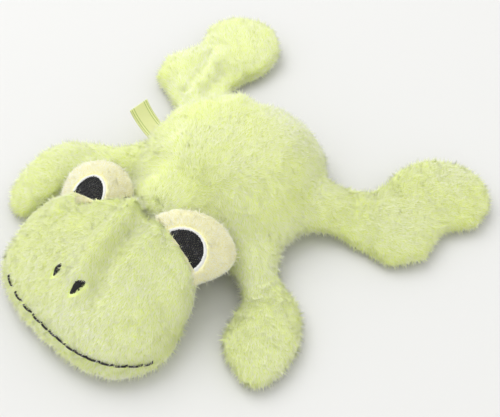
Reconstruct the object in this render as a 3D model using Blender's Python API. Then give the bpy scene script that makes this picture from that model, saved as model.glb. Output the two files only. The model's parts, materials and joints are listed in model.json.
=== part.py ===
"""Plush frog lying on its belly: stuffed body, nodding head with two eye lobes, four limp limbs, side label.

Each stuffed form is two plush panels over a filling. A form starts as a flat outline, the pattern that would
be cut from cloth. A net of quads is stretched across it and swells up and down from the sewn seam. The
skilled part is that net: its outer face, its inner face and its filling come from one outline, so the panels
meet all round and every layer keeps its clearance. +Y is the frog's rear, -Y its mouth, +Z up. Lengths are
in metres.
"""

import math

import bmesh
import bpy
import numpy as np
from mathutils import Vector
from mathutils.bvhtree import BVHTree

# Plush and sewing, shared by every form. A swell is a pair of powers, along and across, then a fullness:
# higher powers and a lower fullness both keep the form thick nearer its edges.
CLOTH = 0.0025
CLEARANCE = 0.0003
FLOOR_CUT = 0.0005
SEAM_LIP = 0.0006
SEAM_ALLOWANCE = 0.0010
HINGE_STAND_OFF = 0.0015
CORE = CLOTH + CLEARANCE
CREASE_ANGLE = math.radians(50)

# Body
BODY_X = -0.0023
BODY_Y = 0.0146
BODY_WIDTH = 0.128
BODY_LENGTH = 0.126
BODY_SEAM_HEIGHT = 0.012
BODY_CROWN = 0.036
BODY_FRONT_DIP_SHARE = 0.30
BODY_BACK_SWELL = ((2.3, 2.3), 0.60)
BODY_BELLY_SWELL = ((4, 4), 0.50)

# Head
NECK_REACH_SHARE = 0.92
NECK_AZIMUTH = math.radians(-90)
NECK_TOP_SLOPE = math.radians(73)
NECK_UNDER_SLOPE = math.radians(38)
HEAD_LENGTH = 0.092
HEAD_WIDTH = 0.128
HEAD_CROWN = 0.031
HEAD_YAW = math.radians(6)
HEAD_FULLNESS = 0.58
HEAD_CROWN_POWER = 7
HEAD_CHIN_SWELL = ((8, 5), 0.50)
LIP_PROUD = 0.0028
RIDGE_HEIGHT = 0.0030
RIDGE_WIDTH = 0.013

# Eyes
LOBE_LENGTH = 0.038
LOBE_WIDTH = 0.047
LOBE_CROWN = 0.0080
LOBE_TUCK = 0.0065
LOBE_SEAM_HEIGHT = 0.0340
LOBE_SIDES = {"left": 0.0285, "right": 0.0315}
LOBE_FORWARDS = {"left": 0.0200, "right": 0.0145}
BROW_RISES = {"left": -0.0015, "right": 0.0085}
BROW_RADIUS = 0.017
LOBE_TURNS = {"left": math.radians(28), "right": math.radians(14)}
LOBE_ROLL = math.radians(14)
LOBE_SWELL = ((3, 3), 0.50)
PUPIL_WIDTH = 0.0235
PUPIL_HEIGHT = 0.0125
PUPIL_OUTWARDS = {"left": 0.0045, "right": 0.0060}
PUPIL_SET_BACKS = {"left": -0.0018, "right": 0.0005}
PUPIL_TURNS = {"left": math.radians(12), "right": 0.0}
EYE_RIM_WIDTH = 0.0020
EMBROIDERY_THICKNESS = 0.0009
EMBROIDERY_LIFT = 0.0006
EYE_SEAM_GAP = 0.0008

# Face
NOSTRIL_LENGTH = 0.0105
NOSTRIL_WIDTH = 0.0034
NOSTRIL_SIDE = 0.0092
NOSTRIL_FORWARD = 0.066
NOSTRIL_TOE_IN = math.radians(6)
MOUTH_THREAD = 0.0010

# Limbs
LIMB_SEAM_HEIGHT = 0.0065
LIMB_CROWN = 0.0068
LIMB_ROOT_SLOPE = math.radians(30)
LIMB_DROP_RUN = 0.030
LIMB_SWELL = ((4, 3), 0.50)
ARM_LENGTH = 0.084
ARM_WIDTH = 0.050
ARM_REACH_SHARE = 0.91
ARM_AZIMUTH = math.radians(-30)
ARM_SWINGS = {"left": 0.0, "right": math.radians(3)}
ARM_LIFTS = {"left": 0.0, "right": 0.0}
LEG_LENGTH = 0.102
LEG_WIDTH = 0.094
LEG_REACH_SHARE = 0.862
LEG_AZIMUTH = math.radians(25.5)
LEG_SWINGS = {"left": math.radians(4), "right": 0.0}
LEG_LIFTS = {"left": 0.003, "right": 0.0}

# Label
LABEL_WIDTH = 0.0145
LABEL_LENGTH = 0.025
LABEL_THICKNESS = 0.0011
LABEL_FORWARD = 0.0055
LABEL_START_TILT = math.radians(22)
LABEL_BEND = math.radians(45)

# Quads along and across each form
BODY_NET = (12, 12)
HEAD_NET = (13, 12)
LIMB_NET = (10, 6)
LOBE_NET = (6, 6)
PATCH_NET = (4, 8)
LABEL_NET = (6, 2)
SPAN_POINTS = 12
OVAL_POINTS = 288
THREAD_POINTS = 28
FLAT_ROW_COUNT = 2

# Outlines as shares of each form's length and width, from its seam along one edge, round the end and back
HEAD_OUTLINE_SHARES = [
    (0.00, 0.17), (0.06, 0.29), (0.18, 0.37), (0.31, 0.425), (0.43, 0.470), (0.55, 0.500), (0.68, 0.490),
    (0.79, 0.455), (0.88, 0.410), (0.945, 0.345), (0.990, 0.240), (1.000, 0.110), (0.990, -0.020),
    (0.970, -0.140), (0.920, -0.265), (0.845, -0.360), (0.750, -0.420), (0.630, -0.455), (0.480, -0.475),
    (0.350, -0.470), (0.250, -0.440), (0.160, -0.380), (0.06, -0.29), (0.00, -0.17),
]
LEFT_ARM_OUTLINE_SHARES = [
    (0.00, 0.320), (0.07, 0.240), (0.15, 0.190), (0.29, 0.140), (0.47, 0.150), (0.61, 0.110), (0.73, -0.030),
    (0.79, -0.300), (0.84, -0.570), (0.84, -0.920), (0.79, -1.120), (0.72, -1.240), (0.64, -1.240),
    (0.58, -1.100), (0.52, -0.890), (0.47, -0.700), (0.43, -0.480), (0.32, -0.336), (0.14, -0.260),
    (0.00, -0.340),
]
RIGHT_ARM_OUTLINE_SHARES = [
    (0.00, 0.320), (0.08, 0.255), (0.25, 0.230), (0.39, 0.310), (0.52, 0.335), (0.66, 0.285), (0.79, 0.165),
    (0.89, -0.020), (0.97, -0.220), (1.00, -0.400), (0.97, -0.520), (0.89, -0.590), (0.79, -0.615),
    (0.71, -0.670), (0.62, -0.685), (0.54, -0.610), (0.45, -0.470), (0.37, -0.300), (0.27, -0.230),
    (0.13, -0.290), (0.00, -0.340),
]
LEG_OUTLINE_SHARES = [
    (0.00, 0.225), (0.12, 0.235), (0.24, 0.250), (0.33, 0.345), (0.395, 0.550), (0.53, 0.700), (0.68, 0.735),
    (0.83, 0.715), (0.96, 0.560), (1.00, 0.350), (0.90, 0.180), (0.765, 0.120), (0.735, -0.040),
    (0.695, -0.230), (0.585, -0.270), (0.37, -0.205), (0.21, -0.165), (0.10, -0.165), (0.00, -0.205),
]
LOBE_OUTLINE_SHARES = [
    (0.00, 0.450), (0.20, 0.480), (0.46, 0.440), (0.69, 0.310), (0.92, 0.080), (1.00, -0.160),
    (0.93, -0.370), (0.76, -0.500), (0.50, -0.530), (0.20, -0.490), (0.00, -0.460),
]

# Where along an outline the net's two far corners lie
HEAD_CORNER_SHARES = (0.285, 0.715)
LEFT_ARM_CORNER_SHARES = (0.50, 0.66)
RIGHT_ARM_CORNER_SHARES = (0.42, 0.575)
LEG_CORNER_SHARES = (0.29, 0.43)
LOBE_CORNER_SHARES = (0.36, 0.66)

# How square the head is from side to side, at the neck and at the mouth
HEAD_ROUNDNESS = (1.7, 2.8)

# The head's crown along its middle, from the neck to the mouth
HEAD_PROFILE_SHARES = [
    (0.00, 1.00), (0.30, 1.00), (0.48, 0.92), (0.66, 0.72), (0.80, 0.53), (0.90, 0.40), (1.00, 0.30),
]

# From where to where along a form something grows from nothing to its full size
LIP_GROWTH_SHARES = (0.43, 0.77)
RIDGE_GROWTH_SHARES = (0.00, 0.25)
RIDGE_FADE_SHARES = (1.00, 0.67)
FOOT_LIFT_SHARES = (0.50, 1.00)

# Where the mouth's thread starts and ends along the head's outline
MOUTH_SHARES = (0.33, 0.70)
PUPIL_CORNER_SHARES = (0.3, 0.7)

SIDES = {"left": -1, "right": 1}
ARM_SHAPES = {
    "left": (LEFT_ARM_OUTLINE_SHARES, LEFT_ARM_CORNER_SHARES),
    "right": (RIGHT_ARM_OUTLINE_SHARES, RIGHT_ARM_CORNER_SHARES),
}
LEG_SHAPES = dict.fromkeys(SIDES, (LEG_OUTLINE_SHARES, LEG_CORNER_SHARES))
LIMBS = {
    "arm": (ARM_LENGTH, ARM_WIDTH, ARM_REACH_SHARE, ARM_AZIMUTH, ARM_SWINGS, ARM_LIFTS, ARM_SHAPES),
    "leg": (LEG_LENGTH, LEG_WIDTH, LEG_REACH_SHARE, LEG_AZIMUTH, LEG_SWINGS, LEG_LIFTS, LEG_SHAPES),
}

# Colours as red, green and blue, with roughness
PLUSH_LIME = ((0.74, 0.86, 0.30), 0.95)
PLUSH_LIME_UNDER = ((0.70, 0.82, 0.27), 0.95)
PLUSH_CREAM = ((0.86, 0.88, 0.50), 0.95)
FIBRE_WHITE = ((0.92, 0.92, 0.90), 1.0)
RIM_WHITE = ((0.90, 0.90, 0.88), 0.8)
THREAD_BLACK = ((0.012, 0.012, 0.014), 0.7)
RIBBON_LIME = ((0.72, 0.84, 0.26), 0.6)


class Frame:
    """A form's own plan frame: along runs away from its seam, across beside it. side -1 mirrors it."""

    def __init__(self, x, y, heading, side=1):
        self.origin = np.array([x, y])
        self.along = np.array([math.cos(heading), math.sin(heading)])
        self.across = side * np.array([-math.sin(heading), math.cos(heading)])

    def place(self, points):
        points = np.asarray(points, float)
        return self.origin + points[..., :1] * self.along + points[..., 1:2] * self.across


def clear_scene():
    for old in list(bpy.data.objects):
        bpy.data.objects.remove(old, do_unlink=True)


def new_collection(name, hidden):
    made = bpy.data.collections.new(name)
    bpy.context.scene.collection.children.link(made)
    made.hide_render = hidden
    return made


def finish(name, colour, roughness):
    """A Principled material with the piece's own colour."""
    made = bpy.data.materials.new(name + "_finish")
    made.use_nodes = True
    shader = made.node_tree.nodes["Principled BSDF"]
    shader.inputs["Base Color"].default_value = (*colour, 1)
    shader.inputs["Roughness"].default_value = roughness
    shader.inputs["Metallic"].default_value = 0
    made.diffuse_color = (*colour, 1)
    return made


def add_pivot(name, frame, height, collection):
    """An empty on a joint's axis, which runs along its Y."""
    pivot = bpy.data.objects.new(name, None)
    pivot.location = (*frame.origin, height)
    pivot.rotation_euler = (0, 0, math.atan2(frame.along[1], frame.along[0]))
    pivot.empty_display_size = CLOTH
    collection.objects.link(pivot)
    bpy.context.view_layer.update()
    return pivot


def add_piece(name, mesh, look, pivot, collection):
    """One sub-part, whose origin is the pivot it turns about."""
    mesh.transform(pivot.matrix_world.inverted())
    mesh.shade_smooth()
    mesh.set_sharp_from_angle(angle=CREASE_ANGLE)
    mesh.materials.append(finish(name, *look))
    piece = bpy.data.objects.new(name, mesh)
    piece.parent = pivot
    collection.objects.link(piece)
    return piece


def smooth_run(points):
    """Points along a Catmull-Rom curve through the given points."""
    points = np.array(points, float)
    knots = np.vstack([2 * points[0] - points[1], points, 2 * points[-1] - points[-2]])
    steps = (np.arange(SPAN_POINTS) / SPAN_POINTS)[:, None]
    spans = []
    for i in range(1, len(knots) - 2):
        p0, p1, p2, p3 = knots[i - 1 : i + 3]
        bend = 2 * p0 - 5 * p1 + 4 * p2 - p3
        twist = 3 * p1 - p0 - 3 * p2 + p3
        spans.append((2 * p1 + (p2 - p0) * steps + bend * steps**2 + twist * steps**3) / 2)
    return np.vstack([*spans, points[-1:]])


def measured(run):
    """The run with each point's distance along it as a third column, which all layers of cloth share."""
    along = np.concatenate([[0], np.cumsum(np.linalg.norm(np.diff(run, axis=0), axis=1))])
    return np.column_stack([run, along])


def resample(run, shares):
    """Points of a measured run at the given shares of its length."""
    here = (run[:, 2] - run[0, 2]) / (run[-1, 2] - run[0, 2])
    return np.stack([np.interp(shares, here, run[:, axis]) for axis in range(2)], axis=1)


def drawn_in(run, distance):
    """The run moved inwards. Inside lies to the right of its direction of travel."""
    ahead = np.gradient(run[:, :2], axis=0)
    ahead /= np.linalg.norm(ahead, axis=1, keepdims=True)
    inward = np.stack([ahead[:, 1], -ahead[:, 0]], axis=1)
    return np.column_stack([run[:, :2] + inward * distance, run[:, 2]])


def scaled_outline(shares, length, width):
    return measured(smooth_run(np.array(shares) * (length, width)))


def swung(run, angle, length):
    """A limb's outline swung sideways about its seam, which itself stays put."""
    along, across, measure = run.T
    turn = angle * grown(along, (0, length / 2))
    cosine, sine = np.cos(turn), np.sin(turn)
    return np.column_stack([along * cosine - across * sine, along * sine + across * cosine, measure])


def eased(count):
    """Shares from 0 to 1 that crowd towards both ends, where a stuffed form curves most."""
    return (1 - np.cos(np.pi * np.arange(count + 1) / count)) / 2


def grown(share, limits):
    """A smooth step from 0 at the first limit to 1 at the second."""
    start, end = limits
    share = np.clip((share - start) / (end - start), 0, 1)
    return share * share * (3 - 2 * share)


def sides_of(run, corner_shares, start):
    """An open outline as four sides: straight seam, one edge, far end, other edge."""
    run = run.copy()
    run[:, 0] = np.maximum(run[:, 0], start)
    run[[0, -1], 0] = start
    near, far = (int(np.argmin(np.abs(run[:, 2] / run[-1, 2] - share))) for share in corner_shares)
    seam = np.array([run[0], run[-1]])
    return seam, run[: near + 1], run[near : far + 1], run[far:][::-1]


def stretched_net(sides, counts):
    """A net of quads blended between four sides."""
    seam, one_edge, far_end, other_edge = sides
    rows, columns = eased(counts[0]), eased(counts[1])
    seam, far_end = resample(seam, columns), resample(far_end, columns)
    one_edge, other_edge = resample(one_edge, rows), resample(other_edge, rows)
    a, b = rows[:, None, None], columns[None, :, None]
    crosswise = (1 - b) * one_edge[:, None] + b * other_edge[:, None]
    lengthwise = (1 - a) * seam[None] + a * far_end[None]
    near_corners = (1 - a) * ((1 - b) * seam[0] + b * seam[-1])
    far_corners = a * ((1 - b) * far_end[0] + b * far_end[-1])
    return crosswise + lengthwise - near_corners - far_corners


def swell(counts, shape, open_seam):
    """How far a net rises, from 0 at its closed edges to 1 in its middle."""
    powers, fullness = shape
    a, b = eased(counts[0])[:, None], eased(counts[1])[None]
    lengthwise = np.maximum(2 * a - 1, 0 if open_seam else 1 - 2 * a) ** powers[0]
    crosswise = np.abs(2 * b - 1) ** powers[1]
    return ((1 - lengthwise) * (1 - crosswise)) ** fullness


def net_faces(rows, columns, first):
    wide = columns + 1
    corners = [first + i * wide + j for i in range(rows) for j in range(columns)]
    return [(k, k + 1, k + wide + 1, k + wide) for k in corners]


def net_border(rows, columns):
    """Indices round a net's edge, in order."""
    wide = columns + 1
    edge = list(range(columns))
    edge += [i * wide + columns for i in range(rows)]
    edge += [rows * wide + j for j in range(columns, 0, -1)]
    edge += [i * wide for i in range(rows, 0, -1)]
    return edge


def closed_mesh(name, points, faces):
    work = bmesh.new()
    corners = [work.verts.new(point) for point in points]
    for face in faces:
        work.faces.new([corners[k] for k in face])
    bmesh.ops.triangulate(work, faces=work.faces, quad_method="FIXED")
    bmesh.ops.recalc_face_normals(work, faces=work.faces)
    mesh = bpy.data.meshes.new(name)
    work.to_mesh(mesh)
    work.free()
    return mesh


def layer_mesh(name, outer, inner):
    """A closed layer between two nets of the same size, walled round their edges."""
    rows, columns = outer.shape[0] - 1, outer.shape[1] - 1
    size = (rows + 1) * (columns + 1)
    faces = net_faces(rows, columns, 0) + net_faces(rows, columns, size)
    edge = net_border(rows, columns)
    for here, there in zip(edge, edge[1:] + edge[:1]):
        faces.append((there, here, here + size, there + size))
    return closed_mesh(name, np.vstack([outer.reshape(-1, 3), inner.reshape(-1, 3)]), faces)


def raised(frame, net, heights):
    """A plan net placed in the world at the given heights."""
    return np.dstack([frame.place(net), heights])


class Form:
    """One stuffed form. Each surface is asked for by its depth of cloth: 0 outside, CLOTH at the panels'
    inner face and CORE at the filling."""

    counts = ()
    flat_rows = FLAT_ROW_COUNT

    def __init__(self, frame):
        self.frame = frame

    def under_net(self, depth):
        return self.net(depth)

    def upper(self, depth, gap):
        plan = self.net(depth)
        heights = self.seam(plan) + gap + np.maximum(self.rise(plan, depth), 0)
        return raised(self.frame, plan, heights)

    def lower(self, depth, gap):
        plan = self.under_net(depth)
        heights = self.seam(plan) - gap - np.maximum(self.fall(plan, depth), 0)
        return raised(self.frame, plan, np.maximum(heights, max(depth - FLOOR_CUT, 0)))

    def solid(self, name, depth, first_row):
        """Everything within a depth of cloth, from the first row of the net that has any thickness."""
        upper, lower = self.upper(depth, CLEARANCE / 2), self.lower(depth, CLEARANCE / 2)
        return layer_mesh(name, upper[first_row:], lower[first_row:])

    def pieces(self, names, looks, pivot, collection):
        """The upper panel, the under panel and the filling."""
        half = CLEARANCE / 2
        meshes = (
            layer_mesh(names[0], self.upper(0, half), self.upper(CLOTH, half)),
            layer_mesh(names[1], self.lower(0, half), self.lower(CLOTH, half)),
            self.solid(names[2], CORE, self.flat_rows),
        )
        return [
            add_piece(name, mesh, look, pivot, collection) for name, mesh, look in zip(names, meshes, looks)
        ]


class Body(Form):
    """A round lens, drawn straight where the head and the limbs are sewn on."""

    counts = BODY_NET
    flat_rows = 0

    def outline(self, depth):
        run = round_run(BODY_LENGTH - 2 * depth, BODY_WIDTH - 2 * depth)
        for direction, reach in seam_planes():
            beyond = np.maximum(run @ direction - (reach - depth), 0)
            run = run - beyond[:, None] * direction
        return run

    def net(self, depth):
        run = np.column_stack([self.outline(depth), measured(self.outline(0))[:, 2]])
        return stretched_net(quarters(run), self.counts)

    def rise(self, plan, depth):
        dip = BODY_FRONT_DIP_SHARE * grown(plan[..., 0], (0, -BODY_LENGTH / 2))
        return (BODY_CROWN * (1 - dip) - depth) * swell(self.counts, BODY_BACK_SWELL, False)

    def fall(self, plan, depth):
        return (BODY_SEAM_HEIGHT + FLOOR_CUT - depth) * swell(self.counts, BODY_BELLY_SWELL, False)

    def seam(self, plan):
        return np.full(plan.shape[:2], BODY_SEAM_HEIGHT)


class Head(Form):
    """A wide face, high between the eyes and low at the mouth, whose chin stands proud of it as a lip."""

    counts = HEAD_NET

    def outline(self, depth, lip):
        run = scaled_outline(HEAD_OUTLINE_SHARES, HEAD_LENGTH, HEAD_WIDTH)
        proud = lip * grown(run[:, 0] / HEAD_LENGTH, LIP_GROWTH_SHARES)
        return drawn_in(swung(run, HEAD_YAW, HEAD_LENGTH), (depth - proud)[:, None])

    def shaped_net(self, depth, lip):
        sides = sides_of(self.outline(depth, lip), HEAD_CORNER_SHARES, -SEAM_ALLOWANCE)
        return stretched_net(sides, self.counts)

    def net(self, depth):
        return self.shaped_net(depth, 0)

    def under_net(self, depth):
        return self.shaped_net(depth, LIP_PROUD)

    def rise(self, plan, depth):
        along, across = plan[..., 0] / HEAD_LENGTH, plan[..., 1] - plan[..., 0] * math.tan(HEAD_YAW)
        places, shares = zip(*HEAD_PROFILE_SHARES)
        crown = (HEAD_CROWN - depth) * np.interp(along, places, shares)
        roundness = np.linspace(*HEAD_ROUNDNESS, self.counts[0] + 1)[:, None]
        crown = crown * swell(self.counts, ((HEAD_CROWN_POWER, roundness), HEAD_FULLNESS), True)
        ridge = RIDGE_HEIGHT * np.exp(-((across / RIDGE_WIDTH) ** 2))
        ridge = ridge * grown(along, RIDGE_GROWTH_SHARES) * grown(along, RIDGE_FADE_SHARES)
        for side, sign in SIDES.items():
            away = np.hypot(plan[..., 0] - LOBE_FORWARDS[side], across - sign * LOBE_SIDES[side])
            crown = crown + BROW_RISES[side] * np.exp(-((away / BROW_RADIUS) ** 2))
        return np.minimum(crown + ridge, wedge(plan, depth, NECK_TOP_SLOPE))

    def fall(self, plan, depth):
        drop = (BODY_SEAM_HEIGHT + FLOOR_CUT - depth) * swell(self.counts, HEAD_CHIN_SWELL, True)
        return np.minimum(drop, wedge(plan, depth, NECK_UNDER_SLOPE))

    def seam(self, plan):
        return np.full(plan.shape[:2], BODY_SEAM_HEIGHT)


class Limb(Form):
    """A flat pad that tapers to the body's side seam, where it folds up and down."""

    counts = LIMB_NET

    def __init__(self, frame, length, width, shape, swing, lift):
        super().__init__(frame)
        outline_shares, self.corner_shares = shape
        self.length, self.lift = length, lift
        self.run = swung(scaled_outline(outline_shares, length, width), swing, length)

    def net(self, depth):
        run = drawn_in(self.run, depth)
        return stretched_net(sides_of(run, self.corner_shares, -SEAM_ALLOWANCE), self.counts)

    def rise(self, plan, depth):
        crown = (LIMB_CROWN - depth) * swell(self.counts, LIMB_SWELL, True)
        return np.minimum(crown, wedge(plan, depth, LIMB_ROOT_SLOPE))

    def fall(self, plan, depth):
        drop = (LIMB_SEAM_HEIGHT + FLOOR_CUT - depth) * swell(self.counts, LIMB_SWELL, True)
        return np.minimum(drop, wedge(plan, depth, LIMB_ROOT_SLOPE))

    def seam(self, plan):
        dropped = grown(plan[..., 0], (0, LIMB_DROP_RUN))
        raised_foot = self.lift * grown(np.linalg.norm(plan, axis=-1) / self.length, FOOT_LIFT_SHARES)
        return BODY_SEAM_HEIGHT + (LIMB_SEAM_HEIGHT - BODY_SEAM_HEIGHT) * dropped + raised_foot


class EyeLobe(Form):
    """A padded half disc sewn on behind the face, lying back over the shoulder."""

    counts = LOBE_NET

    def __init__(self, frame, height):
        super().__init__(frame)
        self.height = height

    def net(self, depth):
        run = drawn_in(scaled_outline(LOBE_OUTLINE_SHARES, LOBE_LENGTH, LOBE_WIDTH), depth)
        return stretched_net(sides_of(run, LOBE_CORNER_SHARES, 0), self.counts) - (LOBE_TUCK, 0)

    def rise(self, plan, depth):
        return (LOBE_CROWN - depth) * swell(self.counts, LOBE_SWELL, True)

    def fall(self, plan, depth):
        return self.rise(plan, depth)

    def seam(self, plan):
        return self.height + plan[..., 1] * math.tan(LOBE_ROLL)


def round_run(length, width):
    """An oval that starts at a net's corner and runs with its inside to the right."""
    turn = np.linspace(0, 2 * math.pi, OVAL_POINTS + 1) + 5 * math.pi / 4
    return np.stack([length / 2 * np.cos(turn), -width / 2 * np.sin(turn)], axis=1)


def quarters(run):
    """A closed run as the four sides of a net."""
    step = (len(run) - 1) // 4
    left, far, right, near = (run[k * step : (k + 1) * step + 1] for k in range(4))
    return near[::-1], left, far, right[::-1]


def seam_reach(azimuth, share):
    """How far from the body's middle a seam lies, as a share of how far its oval reaches that way."""
    return share * math.hypot(BODY_WIDTH / 2 * math.cos(azimuth), BODY_LENGTH / 2 * math.sin(azimuth))


def seam_planes():
    """Where the body's rim is drawn straight, at the neck, shoulders and hips: direction and reach."""
    planes = [(np.array([-1, 0]), seam_reach(NECK_AZIMUTH, NECK_REACH_SHARE))]
    for azimuth, share in ((ARM_AZIMUTH, ARM_REACH_SHARE), (LEG_AZIMUTH, LEG_REACH_SHARE)):
        for side in SIDES.values():
            direction = np.array([math.sin(azimuth), -side * math.cos(azimuth)])
            planes.append((direction, seam_reach(azimuth, share)))
    return planes


def wedge(plan, depth, slope):
    """The most a form may rise near its hinge, so that it folds up without meeting its neighbour."""
    return SEAM_LIP + (plan[..., 0] + SEAM_ALLOWANCE) * math.tan(slope) - depth / math.cos(slope)


def cut_by(piece, cutter):
    cut = piece.modifiers.new("cut_by_" + cutter.name, "BOOLEAN")
    cut.operation = "DIFFERENCE"
    cut.solver = "EXACT"
    cut.object = cutter


def surface_of(piece):
    """A finished piece's surface, for laying embroidery on."""
    bpy.context.view_layer.update()
    work = bmesh.new()
    work.from_object(piece, bpy.context.evaluated_depsgraph_get())
    work.transform(piece.matrix_world)
    tree = BVHTree.FromBMesh(work)
    work.free()
    return tree


def laid_on(surface, points):
    """Plan points as a padded patch of thread that follows the surface under them."""
    sky = BODY_SEAM_HEIGHT + BODY_CROWN + HEAD_CROWN
    heights = [surface.ray_cast((*point, sky), (0, 0, -1))[0].z for point in points.reshape(-1, 2)]
    under = np.dstack([points, np.reshape(heights, points.shape[:2]) + EMBROIDERY_LIFT])
    over = under + (0, 0, EMBROIDERY_THICKNESS)
    return over, under


def half_disc_net(height, width):
    turn = np.linspace(0, math.pi, 4 * SPAN_POINTS)
    run = np.stack([height * np.sin(turn), width / 2 * np.cos(turn)], axis=1)
    return stretched_net(sides_of(measured(run), PUPIL_CORNER_SHARES, 0), PATCH_NET)


def rim_net(height, width):
    """A crescent round the pupil's arc."""
    turn = np.linspace(0, math.pi, 3 * PATCH_NET[1] + 1)[:, None]
    spread = CLEARANCE + np.array([0, EYE_RIM_WIDTH])[None]
    return np.dstack([(height + spread) * np.sin(turn), (width / 2 + spread) * np.cos(turn)])


def oval_net(length, width):
    return stretched_net(quarters(measured(round_run(length, width))), (PATCH_NET[0], PATCH_NET[0]))


def make_body(collection):
    frame = Frame(BODY_X, BODY_Y, math.pi / 2)
    pivot = add_pivot("body_pivot", frame, 0, collection)
    names = ("body_back_panel", "body_belly_panel", "body_filling")
    back = Body(frame).pieces(names, (PLUSH_LIME, PLUSH_LIME_UNDER, FIBRE_WHITE), pivot, collection)[0]
    return frame, surface_of(back)


def make_head(collection, cutters):
    neck = (BODY_X, BODY_Y - seam_reach(NECK_AZIMUTH, NECK_REACH_SHARE) - HINGE_STAND_OFF)
    frame = Frame(*neck, NECK_AZIMUTH)
    face_frame = Frame(*neck, NECK_AZIMUTH + HEAD_YAW)
    pivot = add_pivot("neck_pivot", frame, BODY_SEAM_HEIGHT, collection)
    head = Head(frame)
    names = ("head_face_panel", "head_chin_panel", "head_filling")
    face = head.pieces(names, (PLUSH_LIME, PLUSH_LIME_UNDER, FIBRE_WHITE), pivot, collection)[0]
    cutter = bpy.data.objects.new("head_shape", head.solid("head_shape", -EYE_SEAM_GAP, 0))
    cutter.hide_render = True
    cutter.display_type = "WIRE"
    cutters.objects.link(cutter)
    for side in SIDES:
        make_eye(side, face_frame, pivot, cutter, collection)
    make_nostrils(face_frame, surface_of(face), pivot, collection)
    make_mouth(head, pivot, collection)


def make_eye(side, face_frame, pivot, cutter, collection):
    """A lobe of two panels and a filling, with a white rim and a black half disc sewn on its front."""
    sign = SIDES[side]
    heading = math.atan2(face_frame.along[1], face_frame.along[0]) + math.pi - sign * LOBE_TURNS[side]
    frame = Frame(*face_frame.place([LOBE_FORWARDS[side], sign * LOBE_SIDES[side]]), heading, sign)
    lobe = EyeLobe(frame, LOBE_SEAM_HEIGHT)
    names = [f"eye_{side}_{part}" for part in ("front_panel", "back_panel", "filling")]
    pieces = lobe.pieces(names, (PLUSH_CREAM, PLUSH_CREAM, FIBRE_WHITE), pivot, collection)
    front = surface_of(pieces[0])
    spot = Frame(PUPIL_SET_BACKS[side], -PUPIL_OUTWARDS[side], PUPIL_TURNS[side])
    for part, net, look in (
        ("pupil", half_disc_net(PUPIL_HEIGHT, PUPIL_WIDTH), THREAD_BLACK),
        ("white_rim", rim_net(PUPIL_HEIGHT, PUPIL_WIDTH), RIM_WHITE),
    ):
        points = frame.place(spot.place(net))
        name = f"eye_{side}_{part}"
        pieces.append(add_piece(name, layer_mesh(name, *laid_on(front, points)), look, pivot, collection))
    for piece in pieces:
        cut_by(piece, cutter)


def make_nostrils(face_frame, surface, pivot, collection):
    for side, sign in SIDES.items():
        toe = sign * NOSTRIL_TOE_IN
        spot = Frame(NOSTRIL_FORWARD, sign * NOSTRIL_SIDE, -toe)
        points = face_frame.place(spot.place(oval_net(NOSTRIL_LENGTH, NOSTRIL_WIDTH)))
        name = f"nostril_{side}"
        add_piece(name, layer_mesh(name, *laid_on(surface, points)), THREAD_BLACK, pivot, collection)


def make_mouth(head, pivot, collection):
    """A black thread that lies on the lip, round the front of the face."""
    radius = MOUTH_THREAD / 2
    run = head.outline(-CLEARANCE - radius, 0)
    points = head.frame.place(resample(run, np.linspace(*MOUTH_SHARES, THREAD_POINTS)))
    height = BODY_SEAM_HEIGHT + CLEARANCE / 2 + radius
    curve = bpy.data.curves.new("mouth_thread", "CURVE")
    curve.dimensions = "3D"
    curve.bevel_depth = radius
    curve.bevel_resolution = 1
    curve.use_fill_caps = True
    spline = curve.splines.new("POLY")
    spline.points.add(len(points) - 1)
    to_pivot = pivot.matrix_world.inverted()
    for knot, (x, y) in zip(spline.points, points):
        knot.co = (*(to_pivot @ Vector((x, y, height))), 1)
    curve.materials.append(finish("mouth_thread", *THREAD_BLACK))
    thread = bpy.data.objects.new("mouth_thread", curve)
    thread.parent = pivot
    collection.objects.link(thread)


def make_limb(kind, side, body_frame, collection):
    length, width, reach_share, azimuth, swings, lifts, shapes = LIMBS[kind]
    sign = SIDES[side]
    heading = azimuth if sign > 0 else math.pi - azimuth
    reach = seam_reach(azimuth, reach_share) + HINGE_STAND_OFF
    out = reach * np.array([math.cos(heading), math.sin(heading)])
    frame = Frame(*(body_frame.origin + out), heading, sign)
    name = f"{kind}_{side}"
    pivot = add_pivot(f"{name}_pivot", frame, BODY_SEAM_HEIGHT, collection)
    limb = Limb(frame, length, width, shapes[side], swings[side], lifts[side])
    names = [f"{name}_{part}" for part in ("upper_panel", "under_panel", "filling")]
    limb.pieces(names, (PLUSH_LIME, PLUSH_LIME_UNDER, FIBRE_WHITE), pivot, collection)


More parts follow.
